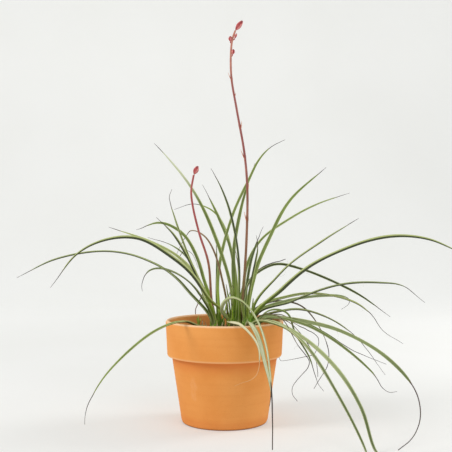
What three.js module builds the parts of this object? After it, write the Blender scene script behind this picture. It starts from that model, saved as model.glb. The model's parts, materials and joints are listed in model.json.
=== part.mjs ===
// Potted hesperaloe (red yucca): clay pot, soil, four leaf crowns and two flower stalks.
// Millimetres, +Z up. The origin is under the middle of the pot and the viewer is on -Y.
import * as THREE from 'three';

// Pot
const potHeight = 138;
const rimDiameter = 160;
const rimBand = 48;
const rimWall = 5;
const rimTaper = 2.2;
const lipStep = 6.3;
const footDiameter = 117;
const bodyWall = 5.5;
const floorThickness = 7;
const drainDiameter = 12;
const edgeRound = 1.6;

// Soil and crowns
const soilGap = 0.3;
const soilDrop = 20;
const soilMound = 6;
const moundRadius = 56;
const crownRadius = 13.2;
const crownHeight = 3.7;

// Plant
const partGap = 0.3;
const leafReach = 307;
const leafRise = 252;
const stalkRise = 392;
const leafWidth = 5;
const leafKeel = 1.7;
const leafTop = 0.5;
const tipWidth = 1.1;
const stalkRadius = 1.8;
const budRadius = 2.9;

// The plant's paths below are drawn for these sizes and follow the driving ones above.
const drawn = { rim: 80, pot: 138, reach: 307, rise: 252, stalk: 392 };
const rimRadius = rimDiameter / 2;
const soilTop = potHeight - soilDrop + soilMound;
const crownTop = soilTop + partGap + crownHeight;
const rimClear = 6;
const baseWidth = crownRadius * 0.4;

const tones = {
  clay: 0xe8965a,
  soil: 0x4a3a2e,
  crown: 0x8d9a58,
  leaf: 0x7c8a4a,
  pale_leaf: 0xa9b083,
  dark_leaf: 0x5f6838,
  dry_leaf: 0x85695a,
  stalk: 0xb4574f,
  bud: 0xd4726c,
};

const part = new THREE.Group();

function add(name, geometry, tone) {
  const material = new THREE.MeshStandardMaterial({ color: tones[tone], roughness: 0.75 });
  material.name = tone;
  const mesh = new THREE.Mesh(geometry, material);
  mesh.name = name;
  part.add(mesh);
}

function turned(profile, segments) {
  const points = profile.map(([r, z]) => new THREE.Vector2(r, z));
  const geometry = new THREE.LatheGeometry(points, segments);
  geometry.rotateX(Math.PI / 2);
  return geometry;
}

// Pot: the profile runs up the outside, over the rim and down the inside.
const footR = footDiameter / 2;
const lipR = rimRadius - rimTaper;
const bodyTopR = lipR - lipStep;
const lipZ = potHeight - rimBand;
const innerTopR = rimRadius - rimWall;
const innerLipR = bodyTopR - bodyWall + 6;
const innerLipZ = lipZ + 6;
const innerBodyR = bodyTopR - bodyWall;
const innerBodyZ = lipZ - 8;
const innerFloorR = footR - bodyWall;
const drainR = drainDiameter / 2;

add('pot', turned([
  [drainR, 0],
  [footR - 3.5, 0],
  [footR - 1.2, edgeRound * 0.7],
  [footR, edgeRound * 2.6],
  [bodyTopR, lipZ - 1.5],
  [bodyTopR + 1, lipZ],
  [lipR - edgeRound * 1.3, lipZ],
  [lipR - edgeRound * 0.4, lipZ + edgeRound * 0.6],
  [lipR, lipZ + edgeRound * 1.8],
  [rimRadius, potHeight - edgeRound * 1.5],
  [rimRadius - edgeRound * 0.35, potHeight - edgeRound * 0.45],
  [rimRadius - edgeRound, potHeight],
  [innerTopR + edgeRound, potHeight],
  [innerTopR + edgeRound * 0.35, potHeight - edgeRound * 0.4],
  [innerTopR, potHeight - edgeRound * 1.2],
  [innerLipR, innerLipZ],
  [innerBodyR, innerBodyZ],
  [innerFloorR, floorThickness],
  [drainR, floorThickness],
  [drainR, 0],
], 96), 'clay');

// Soil: fills the pot to soilDrop below the rim and mounds up under the crowns.
const soilEdgeZ = potHeight - soilDrop;
const wallSlope = (innerTopR - innerLipR) / (potHeight - innerLipZ);
const soilEdgeR = innerLipR + wallSlope * (soilEdgeZ - innerLipZ) - soilGap;
add('soil', turned([
  [0, floorThickness + partGap],
  [innerFloorR - soilGap * 2, floorThickness + partGap],
  [innerBodyR - soilGap * 1.2, innerBodyZ],
  [innerLipR - soilGap * 1.5, innerLipZ],
  [soilEdgeR, soilEdgeZ - 1],
  [soilEdgeR - 2.5, soilEdgeZ],
  [moundRadius, soilTop],
  [0, soilTop],
], 72), 'soil');

// Crowns: the short bases that the leaves sit on.
const crowns = {
  a: [-17, 4],
  b: [14, 8],
  c: [40, -2],
  d: [34, -30],
};
for (const [key, [x, y]] of Object.entries(crowns)) {
  const crown = turned([
    [0, 0],
    [crownRadius, 0],
    [crownRadius, crownHeight * 0.6],
    [crownRadius - 1, crownHeight],
    [0, crownHeight],
  ], 24);
  crown.translate(x, y, soilTop + partGap);
  add(`crown_${key}`, crown, 'crown');
}

// A drawn point is [x, y, height above the rim]. Past the rim it moves out with the pot.
function place([x, y, h], rise) {
  const r = Math.hypot(x, y);
  const t = THREE.MathUtils.smoothstep(r, 25, drawn.rim);
  let reach = r + (rimRadius - drawn.rim) * t;
  if (r > drawn.rim) {
    reach = rimRadius + (r - drawn.rim) * leafReach / drawn.reach;
  }
  let z = h;
  if (h > rimClear) {
    z = rimClear + (h - rimClear) * rise;
  }
  if (h < 0) {
    z = h * potHeight / drawn.pot;
  }
  return new THREE.Vector3(x * reach / r, y * reach / r, potHeight + z);
}

// A closed cylinder bent along a smooth path. section(t) gives side, keel and top half sizes.
function bent(points, side, radial, section) {
  const curve = new THREE.CatmullRomCurve3(points, false, 'centripetal');
  curve.arcLengthDivisions = 600;
  const steps = THREE.MathUtils.clamp(Math.round(curve.getLength() / 10), 8, 34);
  const rings = [];
  for (let i = 0; i <= steps; i += 1) {
    const tangent = curve.getTangentAt(i / steps);
    side.addScaledVector(tangent, -side.dot(tangent)).normalize();
    rings.push({
      centre: curve.getPointAt(i / steps),
      side: side.clone(),
      under: side.clone().cross(tangent),
      size: section(i / steps),
    });
  }
  const geometry = new THREE.CylinderGeometry(1, 1, 1, radial, steps);
  const position = geometry.attributes.position;
  for (let i = 0; i < position.count; i += 1) {
    const ring = rings[Math.round((position.getY(i) + 0.5) * steps)];
    const across = position.getX(i) * ring.size[0];
    const down = position.getZ(i);
    const depth = down * (down > 0 ? ring.size[1] : ring.size[2]);
    const point = ring.centre.clone().addScaledVector(ring.side, across);
    point.addScaledVector(ring.under, depth);
    position.setXYZ(i, point.x, point.y, point.z);
  }
  return geometry;
}

// A leaf: as wide as the crown allows at its base, then its own width, slowly tapering,
// with the last part a dry thread.
function leafSection(width, dry) {
  return (t) => {
    const green = Math.min(t / (1 - dry), 1);
    const taper = (1.15 - 0.3 * green) * Math.sqrt(1 - green ** 3);
    const opening = THREE.MathUtils.smoothstep(t, 0.04, 0.2);
    const full = THREE.MathUtils.lerp(baseWidth, width * taper, opening);
    const depth = Math.max(taper * 1.1, 0.36);
    return [Math.max(full, tipWidth) / 2, leafKeel * depth, leafTop * depth + 0.12];
  };
}

// Rings of leaf bases on a crown, from the upright middle to the leaning edge.
const tiers = [0.3, 0.59, 0.9];

function leaf(name, [crown, tier, turn, width, dry, tone], path) {
  const angle = turn * Math.PI / 180;
  const ring = tiers[tier] * crownRadius;
  const x = crowns[crown][0] + ring * Math.cos(angle);
  const y = crowns[crown][1] + ring * Math.sin(angle);
  const points = [
    new THREE.Vector3(x, y, crownTop + partGap),
    new THREE.Vector3(x, y, crownTop + partGap + 4),
  ];
  for (const point of path) {
    points.push(place(point, leafRise / drawn.rise));
  }
  const side = new THREE.Vector3(-Math.sin(angle), Math.cos(angle), 0);
  const section = leafSection(width * leafWidth, dry);
  add(name, bent(points, side, 4, section), tone);
}

// Left-hand crown
leaf('leaf_a01', ['a', 2, 152, 0.9, 0.05, 'leaf'],
  [[-60, 25, 50], [-115, 40, 82], [-170, 56, 92], [-245, 75, 80], [-307, 92, 51]]);
leaf('leaf_a02', ['a', 2, 188, 1.5, 0.05, 'leaf'],
  [[-32, 9, 26], [-38, 15, 55], [-64, 22, 84], [-102, 28, 105], [-163, 34, 126]]);
leaf('leaf_a03', ['a', 2, 122, 0.8, 0.15, 'dark_leaf'],
  [[-27, 33, 24], [-46, 70, 67], [-60, 87, 86], [-82, 106, 100], [-117, 130, 110]]);
leaf('leaf_a04', ['a', 2, 228, 0.95, 0.1, 'leaf'],
  [[-41, -25, 47], [-76, -45, 71], [-97, -55, 70], [-106, -64, 55], [-105, -70, 44]]);
leaf('leaf_a05', ['a', 2, 263, 1, 0.1, 'pale_leaf'],
  [[-33, -32, 1], [-52, -58, 4.5], [-66, -74, 4], [-91, -96, -6], [-123, -118, -31],
    [-148, -134, -59], [-164, -146, -91], [-165, -150, -107]]);
leaf('leaf_a06', ['a', 2, 90, 0.7, 0.5, 'dry_leaf'],
  [[-26, 39, 16], [-30, 59, 31], [-35, 74, 22], [-43, 90, 4], [-43, 96, -4]]);
leaf('leaf_a07', ['a', 1, 130, 1, 0.05, 'leaf'],
  [[-27, 19, 42], [-40, 31, 86], [-60, 41, 117], [-92, 51, 132], [-127, 60, 122]]);
leaf('leaf_a08', ['a', 1, 232, 1, 0.05, 'leaf'],
  [[-27, -5, 30], [-42, -14, 69], [-67, -28, 115], [-90, -38, 139]]);
leaf('leaf_a09', ['a', 1, 183, 0.9, 0.1, 'leaf'],
  [[-26, 0, 29], [-51, -1, 91], [-69, 4, 141], [-76, 10, 167], [-73, 12, 178]]);
leaf('leaf_a10', ['a', 1, 35, 1, 0.05, 'leaf'],
  [[-10, 18, 43], [-4, 32, 89], [13, 46, 147], [34, 56, 192], [49, 62, 222], [66, 68, 241], [88, 73, 253]]);
leaf('leaf_a11', ['a', 1, 82, 0.9, 0.1, 'dark_leaf'],
  [[-13, 28, 28], [-12, 50, 73], [-12, 68, 107]]);

// Middle crown
leaf('leaf_b01', ['b', 2, 205, 1.3, 0.05, 'leaf'],
  [[-4, -9, 12], [-21, -22, 31], [-44, -33, 63], [-69, -39, 84], [-113, -46, 110],
    [-153, -52, 110], [-192, -58, 91], [-225, -62, 49]]);
leaf('leaf_b02', ['b', 0, 165, 1.3, 0.04, 'pale_leaf'],
  [[9, 13, 43], [-6, 18, 100], [-30, 25, 156], [-60, 32, 200], [-102, 40, 243]]);
leaf('leaf_b03', ['b', 2, 122, 0.8, 0.12, 'leaf'],
  [[13, 44, 30], [13, 70, 64], [1, 99, 122], [-18, 117, 150], [-48, 132, 161], [-78, 150, 153]]);
leaf('leaf_b04', ['b', 1, 104, 1, 0.08, 'leaf'],
  [[16, 33, 38], [9, 61, 93], [-8, 84, 138], [-33, 110, 189]]);
leaf('leaf_b05', ['b', 1, 288, 0.9, 0.05, 'dark_leaf'],
  [[20, -6, 53], [17, -15, 101], [7, -24, 144], [-7, -32, 180], [-19, -38, 203]]);
leaf('leaf_b06', ['b', 0, 65, 1.15, 0.05, 'leaf'],
  [[14, 24, 32], [13, 48, 90], [23, 72, 149], [34, 87, 189], [45, 100, 221]]);
leaf('leaf_b07', ['b', 1, 44, 1, 0.04, 'leaf'],
  [[25, 34, 23], [33, 78, 71], [55, 112, 107], [103, 158, 140], [149, 195, 163],
    [206, 235, 182]]);
leaf('leaf_b08', ['b', 2, 78, 0.8, 0.25, 'dry_leaf'],
  [[24, 51, 20], [37, 76, 47], [55, 97, 66], [92, 125, 77]]);
leaf('leaf_b09', ['b', 2, 240, 0.9, 0.22, 'leaf'],
  [[-2, -22, 8], [-4, -30, 20], [7, -42, 33], [24, -58, 30], [40, -82, 11], [50, -106, -15],
    [55, -124, -48], [57, -142, -88], [56, -164, -133]]);
leaf('leaf_b10', ['b', 2, 275, 0.85, 0.2, 'pale_leaf'],
  [[6, -42, 2], [7, -70, 4.5], [19, -84, 3.5], [34, -98, -9], [41, -108, -20],
    [43, -116, -33], [38, -122, -55], [12, -126, -66]]);
leaf('leaf_b11', ['b', 2, 168, 0.8, 0.12, 'dark_leaf'],
  [[1, 8, 28], [-13, 14, 88], [-29, 32, 114], [-48, 47, 121], [-60, 54, 105], [-69, 60, 87]]);
leaf('leaf_b12', ['b', 2, 312, 0.8, 0.1, 'dark_leaf'],
  [[20, -20, 42], [19, -31, 69], [14, -42, 96]]);

// Right-hand crown
leaf('leaf_c01', ['c', 1, 79, 1, 0.04, 'leaf'],
  [[36, 6, 16], [42, 17, 61], [63, 30, 111], [92, 42, 163], [146, 60, 212]]);
leaf('leaf_c02', ['c', 1, 130, 0.8, 0.1, 'dark_leaf'],
  [[30, 20, 28], [36, 44, 73], [46, 62, 103], [56, 75, 127]]);
leaf('leaf_c03', ['c', 1, 235, 0.8, 0.1, 'leaf'],
  [[35, -18, 45], [42, -28, 85], [44, -31, 99], [42, -35, 115]]);
leaf('leaf_c04', ['c', 2, 174, 0.95, 0.06, 'leaf'],
  [[29, 8, 28], [33, 20, 49], [46, 28, 64], [72, 31, 75], [109, 33, 67], [152, 41, 50], [193, 50, 29],
    [238, 61, -3]]);
leaf('leaf_c05', ['c', 0, 325, 0.95, 0.05, 'leaf'],
  [[48, -6, 26], [80, -8, 69], [131, -8, 107], [182, -6, 138]]);
leaf('leaf_c06', ['c', 1, 292, 1.12, 0.04, 'leaf'],
  [[56, -15, 17], [82, -28, 46], [123, -44, 80], [180, -60, 107], [221, -72, 115],
    [258, -82, 111], [286, -90, 99], [306, -97, 88]]);
leaf('leaf_c07', ['c', 1, 30, 0.95, 0.25, 'leaf'],
  [[58, 8, 19], [92, 19, 31], [131, 31, 33], [186, 49, 19], [210, 57, 1], [229, 66, -24],
    [260, 77, -44]]);
leaf('leaf_c08', ['c', 1, 341, 0.95, 0.12, 'leaf'],
  [[58, -4, 12], [90, 0, 26], [128, 5, 40], [171, 10, 49], [215, 14, 49.5], [246, 16, 45], [278, 20, 21]]);
leaf('leaf_c09', ['c', 2, 71, 0.8, 0.15, 'dark_leaf'],
  [[57, 21, 12], [94, 50, 23], [139, 82, 26], [184, 111, 20], [188, 126, 9], [178, 134, 0]]);
leaf('leaf_c10', ['c', 2, 104, 0.8, 0.3, 'dry_leaf'],
  [[48, 28, 13], [72, 42, 21], [111, 58, 12], [145, 76, -34], [153, 90, -72],
    [133, 104, -115]]);
leaf('leaf_c11', ['c', 2, 5, 1, 0.35, 'leaf'],
  [[64, 2, 6], [99, 8, 15], [138, 16, 5], [184, 27, -28], [227, 40, -83]]);
leaf('leaf_c12', ['c', 2, 38, 0.7, 0.4, 'dry_leaf'],
  [[62, 14, 3], [80, 24, 4], [98, 32, -9], [132, 43, -30], [133, 46, -42], [127, 48, -56]]);

// Front right crown: the leaves that hang over the rim and down to the table.
leaf('leaf_d01', ['d', 1, 62, 1.05, 0.25, 'leaf'],
  [[56, -23, 7], [79, -30, 5], [108, -45, 2], [149, -70, -7], [198, -102, -33],
    [228, -130, -67], [233, -144, -92], [223, -158, -117], [201, -170, -132]]);
leaf('leaf_d02', ['d', 2, 357, 1, 0.12, 'leaf'],
  [[54, -34, 4], [72, -43, 7], [90, -53, 4], [114, -63, -4], [148, -78, -24],
    [184, -100, -55], [199, -110, -76], [211, -116, -75]]);
leaf('leaf_d03', ['d', 2, 33, 0.7, 0.3, 'dark_leaf'],
  [[61, -14, 4], [82, -17, 5], [108, -24, -2], [136, -32, -16], [169, -42, -36],
    [210, -54, -52]]);
leaf('leaf_d04', ['d', 2, 299, 1.6, 0.04, 'pale_leaf'],
  [[58, -54, 5], [76, -66, 0], [110, -92, -21], [144, -120, -55], [165, -142, -91],
    [176, -166, -132.5], [186, -200, -135.2], [190, -236, -135.2]]);
leaf('leaf_d05', ['d', 2, 262, 1.35, 0.04, 'pale_leaf'],
  [[46, -62, 5], [60, -76, 5], [80, -88, -2], [104, -106, -24], [137, -142, -77],
    [164, -170, -131.5], [160, -204, -135.2], [146, -238, -135.2]]);
leaf('leaf_d06', ['d', 1, 5, 0.8, 0.15, 'dark_leaf'],
  [[62, -34, 16], [82, -39, 13], [93, -46, -14], [110, -53, -43], [121, -57, -76],
    [128, -60, -86]]);
leaf('leaf_d07', ['d', 2, 330, 0.7, 0.4, 'dry_leaf'],
  [[64, -49, 6], [82, -60, 4], [103, -76, -18], [116, -85, -45], [117, -90, -62]]);
leaf('leaf_d08', ['d', 1, 290, 0.7, 0.4, 'dry_leaf'],
  [[52, -58, 13], [72, -71, 10], [92, -88, -22], [106, -96, -44], [88, -102, -66],
    [83, -104, -77], [90, -106, -89]]);
leaf('leaf_d09', ['d', 2, 222, 1.75, 0.1, 'pale_leaf'],
  [[31, -58, 3], [32, -74, 5], [41, -88, -10], [50, -102, -42], [57, -112, -75],
    [55, -117, -93]]);

// Flower stalks: round stems, thinner towards the buds.
function stalk(name, [crown, tier, turn, girth], path, rise) {
  const angle = turn * Math.PI / 180;
  const ring = tiers[tier] * crownRadius;
  const x = crowns[crown][0] + ring * Math.cos(angle);
  const y = crowns[crown][1] + ring * Math.sin(angle);
  const points = [
    new THREE.Vector3(x, y, crownTop + partGap),
    new THREE.Vector3(x, y, crownTop + partGap + 5),
  ];
  for (const point of path) {
    points.push(place(point, rise));
  }
  const radiusAt = (t) => stalkRadius * girth * (1.05 - 0.28 * t);
  const section = (t) => [radiusAt(t), radiusAt(t), radiusAt(t)];
  add(name, bent(points, new THREE.Vector3(0, 1, 0), 8, section), 'stalk');
  const curve = new THREE.CatmullRomCurve3(points, false, 'centripetal');
  curve.arcLengthDivisions = 600;
  return { curve, radiusAt };
}

const tallRise = stalkRise / drawn.stalk;
const shortRise = leafRise / drawn.rise;
const tallStalk = [[26, 4, 45], [30, 3, 110], [31, 3, 180], [27, 4, 228], [17, 5, 285],
  [9, 5, 335], [10, 5, 380], [14.5, 5, 395]];
const shortStalk = [[-18, -4, 30], [-22, -7, 78], [-34, -10, 117], [-43, -12, 155],
  [-45, -12, 175], [-41.5, -12, 196.5]];
const tall = stalk('stalk_tall', ['b', 1, 345, 1], tallStalk, tallRise);
const short = stalk('stalk_short', ['a', 0, 330, 0.95], shortStalk, shortRise);

// Buds and bracts: pointed ovals held partGap off their stalk. At the end of a stalk a bud
// carries on along it; lower down it stands beside it, turned out by a few degrees.
function bud(name, stem, at, turn, splay, length, radius, tone) {
  const profile = [];
  for (let i = 0; i <= 12; i += 1) {
    const t = i / 12;
    profile.push([i % 12 ? radius * Math.sin(Math.PI * t ** 0.85) ** 0.8 : 0, length * t]);
  }
  const geometry = turned(profile, 12);
  const angle = turn * Math.PI / 180;
  const lean = splay * Math.PI / 180;
  const out = new THREE.Vector3(Math.cos(angle), Math.sin(angle), 0);
  const axis = stem.curve.getTangentAt(at).multiplyScalar(Math.cos(lean));
  axis.addScaledVector(out, Math.sin(lean)).normalize();
  const up = new THREE.Vector3(0, 0, 1);
  geometry.applyQuaternion(new THREE.Quaternion().setFromUnitVectors(up, axis));
  const base = stem.curve.getPointAt(at);
  if (at === 1) {
    base.addScaledVector(axis, partGap + stem.radiusAt(1) * Math.sin(lean) * 0.3);
  } else {
    base.addScaledVector(out, stem.radiusAt(at) + partGap + radius * 0.9);
  }
  geometry.translate(base.x, base.y, base.z);
  add(name, geometry, tone);
}

bud('bud_tip', tall, 1, 0, 22, 17, budRadius, 'bud');
bud('bud_tip_side', tall, 0.972, 350, 8, 8, budRadius * 0.45, 'bud');
bud('bud_left', tall, 0.962, 190, 8, 7.5, budRadius * 0.6, 'bud');
bud('bud_right', tall, 0.918, 0, 8, 8, budRadius * 0.62, 'bud');
bud('bud_short', short, 1, 0, 16, 13, budRadius, 'bud');
bud('bract_upper', tall, 0.84, 170, 5, 8, budRadius * 0.35, 'stalk');
bud('bract_middle', tall, 0.57, 185, 5, 11, budRadius * 0.4, 'stalk');
bud('bract_lower', tall, 0.36, 195, 5, 11, budRadius * 0.4, 'stalk');

export default part;
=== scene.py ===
import json
import math

import bpy
import numpy as np
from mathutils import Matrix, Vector


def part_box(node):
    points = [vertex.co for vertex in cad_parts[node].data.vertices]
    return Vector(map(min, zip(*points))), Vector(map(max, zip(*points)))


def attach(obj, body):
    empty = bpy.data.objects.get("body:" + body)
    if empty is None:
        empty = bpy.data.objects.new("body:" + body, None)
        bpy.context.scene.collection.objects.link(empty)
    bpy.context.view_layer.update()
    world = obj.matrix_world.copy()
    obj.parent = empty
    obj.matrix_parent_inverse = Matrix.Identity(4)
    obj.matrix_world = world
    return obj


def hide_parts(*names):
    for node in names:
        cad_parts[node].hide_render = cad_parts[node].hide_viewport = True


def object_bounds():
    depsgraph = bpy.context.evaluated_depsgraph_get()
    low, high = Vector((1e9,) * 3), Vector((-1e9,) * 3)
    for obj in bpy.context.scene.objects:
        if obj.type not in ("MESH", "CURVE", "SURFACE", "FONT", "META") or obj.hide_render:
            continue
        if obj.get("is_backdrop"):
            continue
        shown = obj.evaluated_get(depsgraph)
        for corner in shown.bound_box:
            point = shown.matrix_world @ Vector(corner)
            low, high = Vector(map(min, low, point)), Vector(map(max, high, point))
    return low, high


# Potted hesperaloe: clay pot, soil, four crowns of channelled leaves and two flower stalks.
# Metres, +Z up, the viewer on -Y.

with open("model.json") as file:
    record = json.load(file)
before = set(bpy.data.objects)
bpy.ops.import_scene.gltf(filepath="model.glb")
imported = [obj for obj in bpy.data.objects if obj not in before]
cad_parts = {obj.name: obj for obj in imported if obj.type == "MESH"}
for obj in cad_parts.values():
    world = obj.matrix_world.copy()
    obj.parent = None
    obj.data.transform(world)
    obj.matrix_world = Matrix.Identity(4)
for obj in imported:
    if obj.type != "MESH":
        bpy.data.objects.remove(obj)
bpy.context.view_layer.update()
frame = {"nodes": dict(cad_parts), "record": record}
slot_of = {row["node"]: row["material_slot"] for row in frame["record"]["subparts"]}

MM = 0.001
golden_angle = 2.39996

# The pot's and the soil's sizes: the outer ones are read from the CAD, and the rest stand
# inside them as they do there.
pot_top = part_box("pot")[1].z
pot_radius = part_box("pot")[1].x
soil_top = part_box("soil")[1].z
soil_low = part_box("soil")[0].z
rim_band = 48 * MM
lip_height = pot_top - rim_band
rim_wall, lip_step = 5 * MM, 6.3 * MM
lip_radius = pot_radius - 2.2 * MM
neck_radius = lip_radius - lip_step
foot_radius = 58.5 * MM
body_wall = 5.5 * MM
inner_top = pot_radius - rim_wall
inner_lip = neck_radius - body_wall + 6 * MM
inner_neck = neck_radius - body_wall
floor_thick, drain = 7 * MM, 6 * MM


# ---------------------------------------------------------------- mesh making

def new_object(name, points, faces, look, uv=None, values=None):
    """A mesh object from points (n, 3) and a list of faces, with one uv pair per face corner
    and any named per-point values."""
    mesh = bpy.data.meshes.new(name)
    mesh.from_pydata(points.tolist(), [], faces)
    if uv is not None:
        layer = mesh.uv_layers.new(name="surface")
        layer.data.foreach_set("uv", uv.astype(np.float32).ravel())
    for key, value in (values or {}).items():
        attribute = mesh.attributes.new(key, "FLOAT", "POINT")
        attribute.data.foreach_set("value", value.astype(np.float32))
    mesh.polygons.foreach_set("use_smooth", np.ones(len(mesh.polygons), bool))
    mesh.materials.append(look)
    mesh.update()
    made = bpy.data.objects.new(name, mesh)
    bpy.context.scene.collection.objects.link(made)
    return made


def put_mesh(name, points, faces, look, uv=None, values=None):
    """A new piece of the plant or its pot."""
    piece = new_object(name, points, faces, look, uv, values)
    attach(piece, "root")
    return piece


def tube_faces(rows, columns):
    """Quads between rows of points, the columns closing on themselves, and at each end a fan
    of triangles to a last point: the first row's is point rows * columns, the last row's the
    one after."""
    row = np.arange(rows - 1)[:, None] * columns
    c = np.arange(columns)
    n = (c + 1) % columns
    quads = np.stack([row + c, row + n, row + columns + n, row + columns + c], axis=2)
    last = (rows - 1) * columns
    low = np.stack([n, c, 0 * c + rows * columns], axis=1)
    high = np.stack([last + c, last + n, 0 * c + rows * columns + 1], axis=1)
    return quads.reshape(-1, 4).tolist() + low.tolist() + high.tolist()


def tube_mesh(grid):
    """Points, faces and uv of a closed tube from grid (rows, columns, 3). The uv runs once
    round the tube and, along it, is the length in metres times ten."""
    rows, columns = grid.shape[:2]
    middle = grid.mean(axis=1)
    steps = np.linalg.norm(np.diff(middle, axis=0), axis=1)
    along = np.concatenate([[0], np.cumsum(steps)]) * 10
    points = np.concatenate([grid.reshape(-1, 3), middle[:1], middle[-1:]])
    u = np.arange(columns) / columns
    w = u + 1 / columns
    before, after = along[:-1, None], along[1:, None]
    sides = np.stack([np.stack(np.broadcast_arrays(x, y), 2) for x, y in
                      ((u, before), (w, before), (w, after), (u, after))], 2)
    ends = [np.stack([np.stack(np.broadcast_arrays(x, y), 1) for x in (a, b, (u + w) / 2)], 1)
            for a, b, y in ((w, u, along[0]), (u, w, along[-1]))]
    uv = np.concatenate([part.reshape(-1, 2) for part in (sides, *ends)])
    return points, tube_faces(rows, columns), uv


def put_tubes(name, grids, look, values=None):
    """One piece made of closed tubes. values holds a list of per-row arrays for each name,
    spread over the points of each tube."""
    points, faces, uvs, spread = [], [], [], {key: [] for key in (values or {})}
    start = 0
    for index, grid in enumerate(grids):
        tube, tube_list, uv = tube_mesh(grid)
        points.append(tube)
        faces += [[start + i for i in face] for face in tube_list]
        uvs.append(uv)
        start += len(tube)
        for key in spread:
            row = np.asarray(values[key][index], float)
            spread[key].append(np.concatenate([np.repeat(row, grid.shape[1]), row[:1], row[-1:]]))
    joined = {key: np.concatenate(rows) for key, rows in spread.items()}
    return put_mesh(name, np.concatenate(points), faces, look, np.concatenate(uvs), joined)


def unit(vectors):
    """The vectors, each divided by its length."""
    return vectors / np.maximum(np.linalg.norm(vectors, axis=-1, keepdims=True), 1e-12)


def dot(a, b):
    """The dot product of each row of a with the same row of b."""
    return (a * b).sum(axis=-1, keepdims=True)


def between(rows, at):
    """Values read between evenly spaced rows: a cubic from each row to the next, whose slope
    at a row is half the step between the rows on its two sides."""
    i = np.clip(np.floor(at).astype(int), 0, len(rows) - 2)
    f = (at - i).reshape((-1,) + (1,) * (rows.ndim - 1))
    wide = np.concatenate([2 * rows[:1] - rows[1:2], rows, 2 * rows[-1:] - rows[-2:-1]])
    p, q, r, s = wide[i], wide[i + 1], wide[i + 2], wide[i + 3]
    return 0.5 * (2 * q + (r - p) * f + (2 * p - 5 * q + 4 * r - s) * f ** 2
                  + (3 * q - p - 3 * r + s) * f ** 3)


def ramp(x, low, high):
    """0 below low, 1 above high, and an even S-curve between them."""
    t = np.clip((x - low) / (high - low), 0, 1)
    return t * t * (3 - 2 * t)


def spline(points, count):
    """count points at even distances along the cubic through the given ones."""
    points = np.asarray(points, float)
    fine = between(points, np.linspace(0, len(points) - 1, 40 * len(points)))
    run = np.concatenate([[0], np.cumsum(np.linalg.norm(np.diff(fine, axis=0), axis=1))])
    at = np.linspace(0, run[-1], count)
    return np.stack([np.interp(at, run, fine[:, k]) for k in range(3)], axis=1)


def frames(centre, side):
    """The way along, the side and the upward direction at each point of a line, with the
    side kept square to the line."""
    along = unit(np.gradient(centre, axis=0))
    side = unit(side - dot(side, along) * along)
    return along, side, np.cross(along, side)


# ------------------------------------------------------- reading the CAD nodes

weld_steps = 2e6    # in a metre: corners within half a thousandth of a millimetre are one


def merged(node):
    """A node's distinct points, and its triangles as numbers of those points."""
    mesh = frame["nodes"][node].data
    co = np.empty(len(mesh.vertices) * 3, np.float32)
    mesh.vertices.foreach_get("co", co)
    co = co.reshape(-1, 3).astype(float)
    corner = np.empty(len(mesh.loops), np.int32)
    mesh.loops.foreach_get("vertex_index", corner)
    keys = np.round(co * weld_steps).astype(np.int64)
    _, first, same = np.unique(keys, axis=0, return_index=True, return_inverse=True)
    return co[first], same.ravel()[corner].reshape(-1, 3)


def rings_of(node, sides):
    """The rings of points of a CAD rod with that many sides, from its base to its tip: each
    ring is what is one edge further from the middle of the base."""
    points, triangles = merged(node)
    pairs = np.sort(triangles[:, [0, 1, 1, 2, 2, 0]].reshape(-1, 2), axis=1)
    pairs = np.unique(pairs, axis=0)
    caps = np.flatnonzero(np.bincount(pairs.ravel()) == sides)
    start = caps[np.argmin(np.hypot(points[caps, 0], points[caps, 1]))]
    reached = np.zeros(len(points), bool)
    reached[start] = True
    rings = []
    while True:
        touched = np.zeros(len(points), bool)
        touched[pairs[reached[pairs[:, 0]], 1]] = True
        touched[pairs[reached[pairs[:, 1]], 0]] = True
        fresh = np.flatnonzero(touched & ~reached)
        if len(fresh) != sides:
            return np.array(rings)
        rings.append(points[fresh])
        reached[fresh] = True


def blade_line(node):
    """A CAD leaf's middle line, its sideways direction and half-width at each ring. Of a
    ring's four points, the two furthest apart are its edges, and of the others the one
    further out is the keel under it. A pair and the one as far from the other end of pairs
    make up the ring."""
    ring = rings_of(node, 4)
    row = np.arange(len(ring))
    pairs = np.array([[0, 1], [0, 2], [0, 3], [1, 2], [1, 3], [2, 3]])
    span = np.linalg.norm(ring[:, pairs[:, 0]] - ring[:, pairs[:, 1]], axis=2)
    widest = np.argmax(span, axis=1)
    edges, others = pairs[widest], pairs[5 - widest]
    left, right = ring[row, edges[:, 0]], ring[row, edges[:, 1]]
    centre = (left + right) / 2
    rest = ring[row[:, None], others]
    away = np.linalg.norm(rest - centre[:, None], axis=2)
    keel = rest[row, np.argmax(away, axis=1)]
    along = unit(np.gradient(centre, axis=0))
    side = unit(right - left)
    handed = np.sign(dot(np.cross(side, along), keel - centre))
    return centre, side * handed, np.linalg.norm(right - left, axis=1) / 2


# ------------------------------------------------------------ material making

def paint(r, g, b):
    """A colour given as screen values from 0 to 255, as linear light."""
    c = np.array([r, g, b]) / 255
    low = c <= 0.04045
    return [*np.where(low, c / 12.92, ((c + 0.055) / 1.055) ** 2.4), 1.0]


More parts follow.
